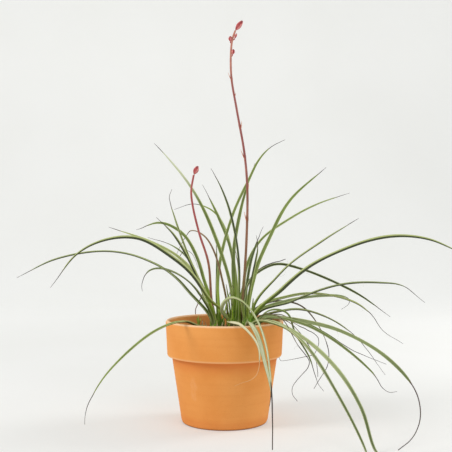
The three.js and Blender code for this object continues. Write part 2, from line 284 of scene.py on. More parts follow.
class Look:
    """A material being made: put() adds a node, its inputs given as sockets or values."""

    def __init__(self, name, **finish):
        self.material = bpy.data.materials.new(name)
        self.material.use_nodes = True
        self.tree = self.material.node_tree
        self.shader = self.tree.nodes["Principled BSDF"]
        for key, value in finish.items():
            self.shader.inputs[key.replace("_", " ")].default_value = value

    def put(self, kind, inputs, **settings):
        node = self.tree.nodes.new("ShaderNode" + kind)
        for key, value in settings.items():
            setattr(node, key, value)
        for key, value in inputs.items():
            if isinstance(value, bpy.types.NodeSocket):
                self.tree.links.new(value, node.inputs[key])
            else:
                node.inputs[key].default_value = value
        return node

    def where(self):
        """The point itself, in metres."""
        return self.put("TexCoord", {}).outputs["Object"]

    def surface(self):
        """The tube's own uv."""
        return self.put("UVMap", {}, uv_map="surface").outputs["UV"]

    def parts(self, vector):
        """The vector's X, Y and Z."""
        return self.put("SeparateXYZ", {"Vector": vector}).outputs

    def value(self, name):
        """A value that the mesh holds for each of its points."""
        return self.put("Attribute", {}, attribute_name=name).outputs["Fac"]

    def sums(self, operation, a, b=0.0, c=0.0):
        return self.put("Math", {0: a, 1: b, 2: c}, operation=operation).outputs[0]

    def times(self, a, b):
        return self.sums("MULTIPLY", a, b)

    def out_from_axis(self, where):
        """The distance from the upright axis."""
        flat = self.put("VectorMath", {0: where, 1: (1, 1, 0)}, operation="MULTIPLY").outputs[0]
        return self.put("VectorMath", {0: flat}, operation="LENGTH").outputs["Value"]

    def scaled(self, vector, scale):
        return self.put("Mapping", {"Vector": vector, "Scale": scale}).outputs[0]

    def noise(self, vector, scale, detail=3.0, rough=0.5):
        return self.put("TexNoise", {"Vector": vector, "Scale": scale, "Detail": detail,
                                     "Roughness": rough}).outputs["Fac"]

    def step(self, value, low, high, start=0.0, end=1.0):
        """An S-curve from start, where the value is low, to end, where it is high."""
        return self.put("MapRange", {"Value": value, "From Min": low, "From Max": high,
                                     "To Min": start, "To Max": end},
                        interpolation_type="SMOOTHSTEP").outputs["Result"]

    def mix(self, factor, a, b):
        """Colour a where the factor is 0 and b where it is 1; a tuple is a screen colour."""
        a, b = (paint(*c) if isinstance(c, tuple) else c for c in (a, b))
        return self.put("Mix", {0: factor, 6: a, 7: b}, data_type="RGBA").outputs[2]

    def over(self, colour, tint, value, low, high, amount=1.0):
        """The colour with the tint over it, none of it where the value is low and that amount
        of it where it is high."""
        return self.mix(self.step(value, low, high, 0, amount), colour, tint)

    def bump(self, height, depth, strength=1.0, under=None):
        inputs = {"Height": height, "Distance": depth, "Strength": strength}
        if under is not None:
            inputs["Normal"] = under
        return self.put("Bump", inputs).outputs["Normal"]

    def done(self, colour, roughness=None, normal=None):
        self.tree.links.new(colour, self.shader.inputs["Base Color"])
        if roughness is not None:
            self.tree.links.new(roughness, self.shader.inputs["Roughness"])
        if normal is not None:
            self.tree.links.new(normal, self.shader.inputs["Normal"])
        return self.material


def leaf_look(name, upper, under, margin, base, thread, stripe, ribs):
    """A leathery leaf: one colour in the channel, a darker one underneath that is partly the
    leaf's own and partly painted shade, a painted shade line along the keel underneath, pale
    margins that are partly their own colour and partly painted highlight, fine lengthwise
    streaks, a brighter base and a dry, brown thread of a tip. The uv's first number goes round
    the blade, the channel being its first half; its second is the length."""
    look = Look(name, Roughness=0.5, Specular_IOR_Level=0.35)
    uv = look.surface()
    along = look.parts(uv)["Y"]
    turn = look.times(look.parts(uv)["X"], 2 * math.pi)
    across = look.sums("ABSOLUTE", look.sums("COSINE", turn))
    below = look.step(look.sums("SINE", turn), 0.1, -0.1)
    streaks = look.noise(look.scaled(uv, (46, 5, 1)), 1.0, 3.0, 0.6)
    patches = look.noise(look.where(), 60.0, 3.0)
    # The underside takes the darker colour: partly the leaf's own, partly painted shade as if lit
    # from above.
    green = look.mix(below, upper, under)
    green = look.over(green, margin, streaks, 0.45, 0.7, stripe)
    green = look.over(green, under, patches, 0.35, 0.75, 0.3)
    green = look.over(green, under, look.value("shade"), 0, 2, 0.9)
    foot = look.times(look.step(along, 0.85, 0.15), look.value("fresh"))
    green = look.mix(look.times(foot, 0.92), green, base)
    # Painted shade: a dark line along the keel on the underside.
    keel = look.times(look.step(across, 0.6, 0.1), below)
    green = look.mix(look.times(keel, 0.35), green, (52, 60, 30))
    # Pale margins: partly the leaf's own pale edge, partly a painted highlight of light on the
    # edges.
    green = look.over(green, margin, across, 0.66, 0.88, 0.85)
    hatch = look.noise(look.scaled(uv, (3, 420, 1)), 1.0, 1.0)
    green = look.over(green, margin, hatch, 0.5, 0.72, ribs)
    root = look.times(look.step(along, 0.14, 0.0), look.value("fresh"))
    green = look.mix(look.times(root, 0.6), green, (226, 214, 160))
    specks = look.noise(look.scaled(uv, (9, 22, 1)), 3.0, 2.0)
    green = look.over(green, (150, 128, 70), specks, 0.7, 0.78, 0.5)
    green = look.mix(look.value("fade"), green, (226, 230, 200))
    dry = look.value("dry")
    colour = look.over(green, look.mix(0.5, thread, (122, 112, 66)), dry, 0.02, 0.5, 0.85)
    colour = look.over(colour, thread, dry, 0.4, 1.0)
    bump = look.bump(streaks, 0.18 * MM)
    bump = look.bump(look.sums("COSINE", look.times(turn, 18.0)), 0.04 * MM, 0.6, bump)
    return look.done(colour, look.step(patches, 0.2, 0.8, 0.42, 0.6), bump)


# Each leaf's look: its channel, its underside (darker, partly painted shade), its margins (pale,
# partly painted highlight), base and thread, and how strong its streaks and its cross-hatching
# are.
leaf_colours = {
    "leaf": ((128, 148, 72), (58, 68, 34), (204, 214, 142), (178, 210, 66), (62, 50, 46),
             0.3, 0.04),
    "ribbed_leaf": ((184, 196, 120), (96, 108, 56), (224, 230, 172), (150, 180, 70),
                    (72, 60, 54), 0.6, 0.4),
    "pale_leaf": ((174, 186, 130), (96, 110, 60), (208, 216, 164), (150, 176, 84),
                  (78, 62, 56), 0.3, 0.0),
    "cream_leaf": ((236, 230, 198), (206, 204, 156), (190, 190, 134), (178, 188, 112),
                   (230, 178, 122), 0.45, 0.0),
    "sage_leaf": ((240, 240, 212), (208, 214, 166), (156, 174, 104), (170, 188, 104),
                  (64, 52, 48), 0.6, 0.0),
    "grey_leaf": ((160, 146, 128), (120, 106, 92), (178, 164, 142), (130, 130, 80),
                  (132, 114, 102), 0.4, 0.0),
    "dark_leaf": ((106, 122, 64), (56, 66, 36), (180, 192, 130), (140, 174, 58), (62, 50, 48),
                  0.3, 0.0),
    "red_leaf": ((150, 112, 78), (98, 76, 54), (190, 160, 116), (100, 130, 56), (84, 62, 58),
                 0.3, 0.0),
    "dry_leaf": ((104, 90, 68), (76, 64, 52), (140, 128, 98), (120, 132, 58), (64, 50, 50),
                 0.4, 0.0),
}
looks = {name: leaf_look(name, *row) for name, row in leaf_colours.items()}


def clay_look():
    """Fired clay: soft mottling, faint turning lines, pores and a pale bloom, with painted light
    and shade: a brighter inside wall, a painted shade band under the rim, painted highlights on
    the lip's lower edge and the rim's top, a darker, redder band near the foot, and a painted
    contact shadow at the very foot."""
    look = Look("fired_clay", Roughness=0.85, Specular_IOR_Level=0.25)
    where = look.where()
    height, out = look.parts(where)["Z"], look.out_from_axis(where)
    cloudy = look.noise(where, 14.0, 4.0, 0.55)
    grain = look.noise(where, 900.0, 2.0)
    lines = look.noise(look.scaled(where, (6, 6, 260)), 1.0, 3.0)
    colour = look.mix(look.step(cloudy, 0.3, 0.7), (233, 151, 74), (240, 163, 88))
    colour = look.over(colour, (222, 134, 64), lines, 0.4, 0.75, 0.14)
    colour = look.over(colour, (210, 122, 56), grain, 0.58, 0.75, 0.3)
    # Painted light: the inside wall near the top is painted brighter and more orange, standing in
    # for the light it gets.
    inside = look.times(look.step(out, pot_radius - 3.4 * MM, pot_radius - 4.4 * MM),
                        look.step(height, lip_height + 6 * MM, lip_height + 12 * MM))
    colour = look.mix(inside, colour, (255, 172, 96))
    outside = look.step(out, neck_radius - 14 * MM, neck_radius - 12 * MM)
    # Painted shade: a darker, redder band on the outside of the body just under the lip, where
    # the lip's overhang shades it.
    under_lip_shade = look.times(look.step(height, lip_height - 22 * MM, lip_height - 1 * MM),
                        look.step(height, lip_height + 0.6 * MM, lip_height))
    under_lip_shade = look.times(look.times(under_lip_shade, outside), 0.6)
    colour = look.mix(under_lip_shade, colour, (216, 118, 54))
    # Painted highlight: a pale line along the lower edge of the lip, on the outside.
    lip_edge_highlight = look.times(look.step(height, lip_height, lip_height + 0.8 * MM),
                        look.step(height, lip_height + 3.4 * MM, lip_height + 1.4 * MM))
    lip_edge_highlight = look.times(look.times(lip_edge_highlight, outside), 0.5)
    colour = look.mix(lip_edge_highlight, colour, (252, 200, 146))
    wobble = look.sums("MULTIPLY_ADD", cloudy, 6 * MM, height)
    colour = look.over(colour, (214, 112, 48), wobble, 19 * MM, 10 * MM, 0.25)
    # Painted shadow: the lowest few millimetres of the foot are dark brown, a contact shadow with
    # the floor.
    colour = look.over(colour, (126, 78, 50), height, 2.6 * MM, 0.6 * MM, 0.75)
    # Painted highlight: the rim's top is painted pale peach.
    colour = look.over(colour, (254, 214, 172), height, pot_top - 3 * MM, pot_top - 0.8 * MM, 0.8)
    bloom = look.noise(look.scaled(where, (1, 1, 0.6)), 30.0, 4.0)
    colour = look.over(colour, (250, 206, 164), bloom, 0.66, 0.82, 0.3)
    bump = look.bump(grain, 0.12 * MM, 0.6)
    bump = look.bump(lines, 0.1 * MM, 0.4, bump)
    pores = look.put("TexVoronoi", {"Vector": where, "Scale": 420.0}).outputs["Distance"]
    bump = look.bump(look.step(pores, 0.06, 0.16), 0.1 * MM, 0.4, bump)
    return look.done(colour, look.step(cloudy, 0.2, 0.8, 0.78, 0.92), bump)


def soil_look():
    """Damp peat: near-black crumbs with brown fibres and paler dry specks."""
    look = Look("peat_soil", Roughness=0.95, Specular_IOR_Level=0.2)
    where = look.where()
    coarse, fine = look.noise(where, 160.0, 5.0, 0.65), look.noise(where, 900.0, 3.0)
    colour = look.mix(look.step(coarse, 0.35, 0.7), (44, 32, 24), (96, 72, 50))
    colour = look.over(colour, (150, 122, 90), fine, 0.62, 0.78, 0.6)
    bump = look.bump(coarse, 1.2 * MM, 0.9)
    bump = look.bump(fine, 0.4 * MM, 0.8, bump)
    return look.done(colour, look.step(fine, 0.3, 0.7, 0.85, 1.0), bump)


def grit_look():
    """Pumice and perlite grit: chalky, off-white to tan, pitted."""
    look = Look("chalky_grit", Roughness=0.9, Specular_IOR_Level=0.25)
    where = look.where()
    tone, pits = look.noise(where, 90.0, 2.0), look.noise(where, 1600.0, 3.0)
    colour = look.mix(look.step(tone, 0.35, 0.65), (226, 216, 196), (176, 148, 112))
    colour = look.over(colour, (120, 98, 76), pits, 0.55, 0.75, 0.5)
    return look.done(colour, look.step(pits, 0.3, 0.7, 0.8, 1.0), look.bump(pits, 0.2 * MM))


def stalk_look(name, low, high, olive, brown, rosy, peach):
    """A flower stalk: olive at its foot, brown, then rosy red, and peach near its top, with
    long streaks and a waxy bloom. low and high are the heights between which the colours
    change."""
    look = Look(name, Roughness=0.45, Specular_IOR_Level=0.45, Sheen_Weight=0.5,
                Sheen_Tint=paint(250, 214, 190))
    where, uv = look.where(), look.surface()
    height = look.parts(where)["Z"]
    streaks = look.noise(look.scaled(uv, (12, 5, 1)), 1.0, 4.0, 0.6)
    blotch = look.noise(where, 130.0, 3.0)
    reach = look.sums("MULTIPLY_ADD", look.sums("SUBTRACT", blotch, 0.5), 0.05, height)
    colour = look.mix(look.step(reach, low - 0.06, low), olive, brown)
    colour = look.over(colour, rosy, reach, low, high)
    colour = look.over(colour, peach, reach, high + 0.07, high + 0.14, 0.7)
    colour = look.over(colour, (224, 160, 136), streaks, 0.5, 0.7, 0.5)
    colour = look.over(colour, (120, 52, 50), blotch, 0.55, 0.72, 0.45)
    bump = look.bump(streaks, 0.25 * MM, 0.7)
    return look.done(colour, look.step(blotch, 0.3, 0.7, 0.38, 0.55), bump)


def bud_look():
    """Waxy bud scales: coral pink, dark red along the edges and tips, pale at the keel."""
    look = Look("coral_bud", Roughness=0.4, Specular_IOR_Level=0.5, Coat_Weight=0.15)
    uv = look.surface()
    turn = look.times(look.parts(uv)["X"], 2 * math.pi)
    across = look.sums("ABSOLUTE", look.sums("COSINE", turn))
    tip = look.value("tip")
    veins = look.noise(look.scaled(uv, (30, 14, 1)), 1.0, 3.0)
    patches = look.noise(look.where(), 420.0, 3.0)
    colour = look.mix(look.step(patches, 0.35, 0.65), (214, 100, 98), (176, 60, 64))
    colour = look.over(colour, (244, 180, 172), across, 0.5, 0.1, 0.6)
    colour = look.over(colour, (236, 150, 142), veins, 0.5, 0.7, 0.5)
    colour = look.over(colour, (140, 34, 40), across, 0.75, 0.98, 0.8)
    colour = look.over(colour, (128, 36, 40), tip, 0.75, 1.0, 0.8)
    bump = look.bump(veins, 0.2 * MM)
    return look.done(colour, look.step(patches, 0.3, 0.7, 0.35, 0.5), bump)


def flake_look():
    """A papery bract: orange-brown at its root, fading to pale pink and straw at its tip."""
    look = Look("papery_flake", Roughness=0.7, Specular_IOR_Level=0.3)
    uv, tip = look.surface(), look.value("tip")
    veins = look.noise(look.scaled(uv, (26, 12, 1)), 1.0, 4.0, 0.6)
    colour = look.mix(look.step(tip, 0.1, 0.8), (192, 104, 74), (226, 172, 142))
    colour = look.over(colour, (160, 92, 66), veins, 0.45, 0.7, 0.6)
    bump = look.bump(veins, 0.3 * MM)
    return look.done(colour, look.step(veins, 0.3, 0.7, 0.6, 0.8), bump)


def sheath_look(name, low, high):
    """The clasping leaf bases: cream-green below, bright green above, with brown, papery
    edges here and there."""
    look = Look(name, Roughness=0.5, Specular_IOR_Level=0.4)
    uv, tip = look.surface(), look.value("tip")
    veins = look.noise(look.scaled(uv, (40, 6, 1)), 1.0, 3.0, 0.6)
    patches = look.noise(look.where(), 140.0, 3.0)
    colour = look.mix(look.step(tip, 0.0, 0.5), low, high)
    colour = look.over(colour, (84, 120, 40), veins, 0.45, 0.7, 0.5)
    colour = look.over(colour, (168, 132, 84), patches, 0.56, 0.72, 0.7)
    bump = look.bump(veins, 0.3 * MM)
    return look.done(colour, look.step(patches, 0.3, 0.7, 0.42, 0.6), bump)


def dry_look(name, light, dark):
    """Dry plant fibre: long streaks from straw to brown."""
    look = Look(name, Roughness=0.8, Specular_IOR_Level=0.25)
    streaks = look.noise(look.scaled(look.surface(), (20, 8, 1)), 1.0, 4.0, 0.6)
    patches = look.noise(look.where(), 260.0, 3.0)
    colour = look.mix(look.step(patches, 0.35, 0.65), light, dark)
    colour = look.over(colour, dark, streaks, 0.45, 0.7, 0.5)
    bump = look.bump(streaks, 0.2 * MM)
    return look.done(colour, look.step(streaks, 0.3, 0.7, 0.7, 0.9), bump)


clay, peat, grit = clay_look(), soil_look(), grit_look()
coral, flake = bud_look(), flake_look()
sheath = sheath_look("leaf_sheath", (220, 210, 146), (140, 178, 64))
weed_look = sheath_look("weed_green", (206, 214, 120), (184, 206, 84))
stalk_looks = {
    "stalk_tall": stalk_look("tall_stalk_skin", 0.24, 0.37, (130, 108, 62),
                             (134, 92, 64), (146, 76, 74), (206, 136, 112)),
    "stalk_short": stalk_look("short_stalk_skin", 0.195, 0.25, (150, 104, 70),
                              (150, 96, 66), (164, 66, 70), (140, 88, 66)),
}
hair_look = dry_look("grey_fibre", (176, 166, 152), (122, 108, 100))
stray_look = dry_look("brown_fibre", (104, 86, 78), (64, 50, 48))
scrap_look = dry_look("straw_scrap", (232, 214, 178), (186, 150, 110))


# --------------------------------------------------------------------- leaves

blade_step = 2.4 * MM
blade_sides = 16
angle_round = np.arange(blade_sides) * 2 * math.pi / blade_sides
thread_width = 0.56 * MM


def blade_grid(centre, side, half, dry, keel=1.0, channel=1.5, roll=None):
    """A blade as a grid of points: at each point of the middle line, a gutter. Round the
    gutter by angle t, the point stands cos t half-widths to the side; the upper face rises
    from the middle as that distance to the power 1.4, and the lower face hangs under it by
    sin t times the thickness. Where dry is 1 the gutter has become a round thread. roll
    turns the gutter about its line."""
    along, side, up = frames(centre, side)
    if roll is not None:
        c, s = np.cos(roll)[:, None], np.sin(roll)[:, None]
        side, up = side * c - up * s, up * c + side * s
    c, s = np.cos(angle_round)[None, :, None], np.sin(angle_round)[None, :, None]
    w = half[:, None, None]
    size = np.minimum(w / (2.5 * MM), 1.25)
    depth = channel * MM * size
    thick = keel * MM * size
    face = depth * (np.abs(c) ** 1.4 - 0.55) - thick * np.clip(-s, 0, 1) ** 0.8
    d = dry[:, None, None]
    lift = face * (1 - d) + w * s * d
    return centre[:, None] + side[:, None] * w * c + up[:, None] * lift


crown_places = {}
for key in "abcd":
    low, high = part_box("crown_" + key)
    crown_places[key] = np.array([(low.x + high.x) / 2, (low.y + high.y) / 2])

# How each crown's leaves close up at the soil: the way their middle moves, and how much
# tighter than the CAD bases they stand.
gathers = {"a": ((0.007, -0.001), 0.62), "b": ((0.0, 0.0), 0.8),
           "c": ((-0.007, 0.0), 0.62), "d": ((0.001, 0.003), 0.8)}


def gathered(points, key):
    """Points of a crown's leaves drawn in at the soil: each moves towards the crown's middle,
    less and less with its height above the soil and its distance from the crown."""
    shift, tight = gathers[key]
    off = points[:, :2] - crown_places[key]
    near = 1 - ramp(np.hypot(off[:, 0], off[:, 1]), 0.014, 0.048)
    low = 1 - ramp(points[:, 2] - soil_top, 0.004, 0.075)
    moved = points.copy()
    moved[:, :2] += (near * low)[:, None] * (np.array(shift) + off * (tight - 1))
    return moved


# How single blades differ from the usual one. wide: its width against its CAD leaf's. outer:
# how much wider still it stays in its outer half. thread: its thread's half-thickness, in
# millimetres. roll: its turn towards the viewer. look: its look, where it isn't its slot's.
# dusk: how dark it is at first, and the part of its length over which it darkens. fade: how
# pale its end is. bows: where it bows away from its CAD leaf, to the side and up, in
# millimetres, between two parts of its length.
habits = {
    "a01": dict(wide=1.2, roll=-0.25, look="dark_leaf", dusk=(1.8, 0.0, 0.3),
                bows=[(-0.9, -1.3, 0.0, 0.35)]),
    "a02": dict(wide=0.8, outer=0.0, roll=1.0, look="ribbed_leaf"),
    "a04": dict(look="dark_leaf"),
    "a05": dict(look="leaf", bows=[(0, -6, 0.01, 0.25), (0, -5, 0.0, 0.13)]),
    "a06": dict(thread=0.9, look="grey_leaf"),
    "a11": dict(wide=0.75, bows=[(1.2, 0, 0.2, 1.0)]),
    "b01": dict(wide=1.45, outer=-0.25, roll=-0.35, dusk=(1.6, 0.1, 0.5),
                bows=[(0.6, 2.0, 0.15, 0.75), (0.6, -1.2, 0.75, 1.15)]),
    "b02": dict(wide=0.9, outer=0.0, roll=0.8, look="leaf", fade=0.85,
                bows=[(-2.7, -0.6, 0.03, 0.9), (2.4, 1.4, 0.8, 1.2)]),
    "b05": dict(wide=0.8, bows=[(1.6, 0.4, 0.5, 1.2)]),
    "b06": dict(outer=0.1),
    "b08": dict(thread=0.8),
    "b09": dict(thread=0.84, roll=0.9, look="sage_leaf"),
    "b10": dict(thread=0.4, roll=0.8, look="cream_leaf"),
    "b11": dict(look="red_leaf"),
    "c01": dict(wide=1.1, outer=0.1),
    "c02": dict(wide=1.1),
    "c03": dict(wide=1.1),
    "c04": dict(wide=1.12, roll=0.05, look="dark_leaf", dusk=(1.2, 0.2, 0.6),
                bows=[(0, -1.4, 0.05, 0.5)]),
    "c05": dict(wide=1.12),
    "c06": dict(wide=1.15, roll=0.45, dusk=(1.0, 0.3, 0.6), bows=[(-1.2, 1.6, 0.02, 0.55)]),
    "c07": dict(wide=1.2, outer=0.9, roll=0.15),
    "c08": dict(wide=1.15, roll=0.05, look="dark_leaf", bows=[(0, -1.4, 0.05, 0.5)]),
    "c09": dict(wide=1.4, outer=0.9, bows=[(0, -1.4, 0.1, 0.8)]),
    "c10": dict(wide=0.67, thread=0.62),
    "c11": dict(wide=1.15, outer=0.9, roll=0.1, look="dark_leaf", bows=[(0, -1.8, 0.1, 0.65)]),
    "c12": dict(wide=0.67, thread=0.6),
    "d01": dict(outer=0.9, thread=0.72, look="pale_leaf", dusk=(1.1, 0.5, 0.8)),
    "d02": dict(roll=0.1, look="dark_leaf"),
    "d04": dict(wide=0.88, roll=0.5, dusk=(0.4, 0.3, 0.8), bows=[(-1.4, -0.4, 0.3, 1.0)]),
    "d05": dict(wide=0.85, roll=0.55, dusk=(0.5, 0.2, 0.6), bows=[(-1.4, 0, 0.6, 1.2)]),
    "d06": dict(wide=0.75),
    "d07": dict(wide=0.6, thread=0.58),
    "d08": dict(wide=0.6),
    "d09": dict(wide=0.85, roll=0.5, look="sage_leaf"),
}
# How green the leaves of each crown are at their bases.
freshness = {"a": 1.0, "b": 1.0, "c": 0.5, "d": 0.35}


def blade_from_node(node, habit, seed):
    """The finer blade that stands for a CAD leaf: its line and widths, read between the CAD
    rings, a slow wave in its width, and a crooked thread from where the CAD leaf is thin. A
    bow moves it by the square of a sine, from nothing to nothing between its two ends."""
    chance = np.random.default_rng(seed)
    centre, side, half = blade_line(node)
    length = np.linalg.norm(np.diff(centre, axis=0), axis=1).sum()
    at = np.linspace(0, len(centre) - 1, max(24, int(length / blade_step)))
    run = at / at[-1]
    thin = np.flatnonzero(half > thread_width).max() + 0.6
    turn, wide = between(side, at), np.clip(between(half, at), 0.3 * MM, None)
    line = gathered(between(centre, at), node[5])
    for across, up, start, end in habit.get("bows", ()):
        hump = np.sin(np.clip((run - start) / (end - start), 0, 1) * math.pi) ** 2
        line[:, 0] += across * MM * hump
        line[:, 2] += up * MM * hump
    dry = ramp(at, thin - 0.9, thin + 0.3)
    wave = 1 + 0.035 * np.sin(run * 17 + seed) + 0.02 * np.sin(run * 41 + 2 * seed)
    flare = 1 + 0.2 * (1 - ramp(run * length, 0.0, 0.022))
    outer = habit.get("outer", 0 if slot_of[node] in ("pale_leaf", "dry_leaf") else 0.35)
    wide = wide * (1 + outer * ramp(run, 0.45, 0.8)) * habit.get("wide", 1.0)
    stout = habit.get("thread", 0.54 if slot_of[node] == "dry_leaf" else 0.48)
    thread = (stout - 0.24 * ramp(at, thin, at[-1])) * MM
    wide = wide * wave * flare * (1 - dry) + thread * dry
    roll = -unit(turn)[:, 1] * habit.get("roll", 0.35 + 0.3 * math.sin(seed * 2.4))
    bend = chance.normal(0, 1, (2, 3))
    sway = (bend[0] * np.sin(run * 60 + seed)[:, None] + bend[1] * np.cos(run * 37)[:, None])
    line = line + sway * 0.12 * MM * dry[:, None]
    return blade_grid(line, turn, wide, dry, roll=roll * ramp(run, 0.08, 0.4)), dry, line


leaf_nodes = sorted(n for n in frame["nodes"] if n.startswith("leaf_"))
leaf_lines = {}
for order, node in enumerate(leaf_nodes):
    habit = habits.get(node[5:], {})
    grid, dry, leaf_lines[node] = blade_from_node(node, habit, order)
    run = np.linspace(0, 1, len(grid))
    shade = np.full(len(grid), (order * 0.618) % 1)
    if "dusk" in habit:
        first, start, end = habit["dusk"]
        shade = first + (2 - first) * ramp(run, start, end)
    fade = ramp(run, 0.58, 0.85) * habit.get("fade", 0.0)
    fresh = np.full(len(grid), freshness[node[5]] * (0.3 if "look" in habit else 1))
    look = looks[habit.get("look", slot_of[node])]
    blade = put_tubes("blade_" + node[5:], [grid], look,
                      {"dry": [dry], "shade": [shade], "fade": [fade], "fresh": [fresh]})
    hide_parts(node)


# ------------------------------------------------------------------------ pot

longest_run = 2.5 * MM


def rounded(profile, steps=6):
    """A closed outline of corners (across, up, radius), each cut back by its radius and
    bridged by a parabola, and its long straight runs split."""
    here, radius = np.asarray(profile, float)[:, :2], np.asarray(profile, float)[:, 2:]
    back, ahead = np.roll(here, 1, axis=0) - here, np.roll(here, -1, axis=0) - here
    run_back = np.linalg.norm(back, axis=1, keepdims=True)
    run_ahead = np.linalg.norm(ahead, axis=1, keepdims=True)
    start = here + back * np.minimum(radius / run_back, 0.45)
    end = here + ahead * np.minimum(radius / run_ahead, 0.45)
    t = np.linspace(0, 1, steps)[None, :, None]
    arcs = (1 - t) ** 2 * start[:, None] + 2 * t * (1 - t) * here[:, None] + t ** 2 * end[:, None]
    loop = arcs.reshape(-1, 2)
    runs = [np.linspace(a, b, 1 + int(np.linalg.norm(b - a) / longest_run), endpoint=False)
            for a, b in zip(loop, np.roll(loop, -1, axis=0))]
    return np.concatenate(runs)


def revolved(name, outline, segments, look, relief=None):
    """A ring of material: the closed outline (radius, height), listed up the outside and
    down the inside, carried round the upright axis. relief(angle, height) moves it out."""
    angle = np.arange(segments) * 2 * math.pi / segments
    radius, height = outline[:, 0][:, None], outline[:, 1][:, None]
    reach = radius + (relief(angle[None, :], height) if relief else 0)
    grid = np.stack([reach * np.cos(angle), reach * np.sin(angle),
                     height + 0 * angle[None, :]], axis=2)
    rows = len(outline)
    i, j = np.arange(rows)[:, None], np.arange(segments)[None, :]
    up, on = (i + 1) % rows, (j + 1) % segments
    faces = np.stack([i * segments + j, i * segments + on,
                      up * segments + on, up * segments + j], axis=2).reshape(-1, 4)
    return put_mesh(name, grid.reshape(-1, 3), faces.tolist(), look)


soft, crisp = 1.6 * MM, 0.7 * MM
pot_outline = [
    (drain, 0, soft), (foot_radius - 1.5 * MM, 0, soft),
    (foot_radius + 0.2 * MM, 4 * MM, soft),
    (neck_radius, lip_height - 1.2 * MM, soft), (neck_radius + 0.8 * MM, lip_height, crisp),
    (lip_radius - 0.9 * MM, lip_height, crisp),
    (lip_radius, lip_height + 1.9 * MM, crisp),
    (pot_radius, pot_top - 2 * MM, soft), (pot_radius - 1.6 * MM, pot_top, soft),
    (inner_top + 1.6 * MM, pot_top, soft), (inner_top, pot_top - 2 * MM, soft),
    (inner_lip, lip_height + 6 * MM, soft), (inner_neck, lip_height - 8 * MM, soft),
    (foot_radius - body_wall, floor_thick, soft), (drain, floor_thick, soft),
]


def turning_marks(angle, height):
    """The shallow waves left by the turning: the sum of a few slow ones round the pot and
    finer ones up it."""
    around = np.sin(angle * 2 + 1.1) * 0.10 + np.sin(angle * 3 + height * 40) * 0.06
    rings = np.sin(height * 900) * 0.03 + np.sin(height * 2300 + angle) * 0.015
    return (around + rings) * MM


pot = revolved("clay_pot", rounded(pot_outline), 200, clay, turning_marks)
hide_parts("pot")


# ----------------------------------------------------------------------- soil

def soil_height(x, y, radius):
    """The soil's top: a flat mound that falls to the wall, with lumps from crossing waves."""
    lumps = (np.sin(x * 410 + 1.3) * np.sin(y * 380 + 0.4) * 0.55
             + np.sin(x * 160 + y * 210) * 0.5 + np.sin(x * 900 - y * 760) * 0.22
             + np.sin(x * 1500 + y * 1730 + 2) * 0.12)
    slope = ramp(radius, 0.052, 0.074) * 5.6 * MM
    return soil_top - 0.9 * MM - slope + lumps * 0.8 * MM


rings, spokes = 60, 180
wall_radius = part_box("soil")[1].x
ring_radius = np.concatenate([np.linspace(0.004, 1, rings) * wall_radius,
                              [wall_radius - 0.5 * MM, inner_neck - 1 * MM,
                               foot_radius - body_wall - 1.2 * MM]])
spoke = np.arange(spokes) * 2 * math.pi / spokes
sx, sy = ring_radius[:, None] * np.cos(spoke), ring_radius[:, None] * np.sin(spoke)
sz = soil_height(sx, sy, ring_radius[:, None] + 0 * sx)
# The last three rings go down the pot's wall to the soil's foot.
sz[-3:] = np.array([lip_height + 10 * MM, lip_height - 10 * MM, soil_low])[:, None]
soil_grid = np.stack([sx, sy, sz], axis=2)[::-1]
soil_piece = put_tubes("soil_bed", [soil_grid], peat)
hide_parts("soil")

# A crumb is a cube's eight corners pushed to a sphere, with six quads.
cube = np.array([[-1, -1, -1], [1, -1, -1], [1, 1, -1], [-1, 1, -1],
                 [-1, -1, 1], [1, -1, 1], [1, 1, 1], [-1, 1, 1]]) / math.sqrt(3)
cube_faces = np.array([[0, 3, 2, 1], [4, 5, 6, 7], [0, 1, 5, 4],
                       [1, 2, 6, 5], [2, 3, 7, 6], [3, 0, 4, 7]])


def scattered(name, count, size, reach, look, seed, squash):
    """Many small lumps on the soil: each is a cube's corners, pushed in and out at random,
    turned about the upright axis and set on the surface."""
    chance = np.random.default_rng(seed)
    radius = np.sqrt(chance.uniform(0, 1, count)) * reach
    angle = chance.uniform(0, 2 * math.pi, count)
    x, y = radius * np.cos(angle), radius * np.sin(angle)
    big = size * chance.uniform(0.45, 1.0, count)
    z = soil_height(x, y, radius) + big * 0.25
    turn = chance.uniform(0, 2 * math.pi, count)
    shape = cube[None] * chance.uniform(0.7, 1.3, (count, 8, 3)) * big[:, None, None]
    shape = shape * np.array([1, 1, squash])
    c, s = np.cos(turn)[:, None], np.sin(turn)[:, None]
    px = shape[..., 0] * c - shape[..., 1] * s + x[:, None]
    py = shape[..., 0] * s + shape[..., 1] * c + y[:, None]
    points = np.stack([px, py, shape[..., 2] + z[:, None]], axis=2).reshape(-1, 3)
    faces = (cube_faces[None] + np.arange(count)[:, None, None] * 8).reshape(-1, 4)
    piece = put_mesh(name, points, faces.tolist(), look)
    smooth = piece.modifiers.new("soften", "SUBSURF")
    smooth.levels = smooth.render_levels = 1


scattered("soil_crumbs", 520, 2.3 * MM, 0.069, peat, 5, 0.8)
scattered("pale_grit", 46, 1.9 * MM, 0.068, grit, 8, 0.8)


# --------------------------------------------------------------------- crowns

def scale_grid(foot, out, height, half, lean, curl, rows=12):
    """A pointed scale standing on foot and leaning out: its line rises as the height and
    goes out as the square of the way up, and its width falls to a point as the square root
    of one less the way up to the power 1.6."""
    t = np.linspace(0, 1, rows)
    out = np.array([*out, 0.0])
    line = foot + t[:, None] * np.array([0, 0, height]) + (lean * t ** 2)[:, None] * out
    side = np.cross(out, [0, 0, 1.0]) + curl * t[:, None] * out
    wide = half * np.sqrt(np.clip(1 - t ** 1.6, 0.002, 1))
    return blade_grid(line, side + 0 * line, wide, np.zeros(rows), 0.8, 1.0), t


crown_scales = 40


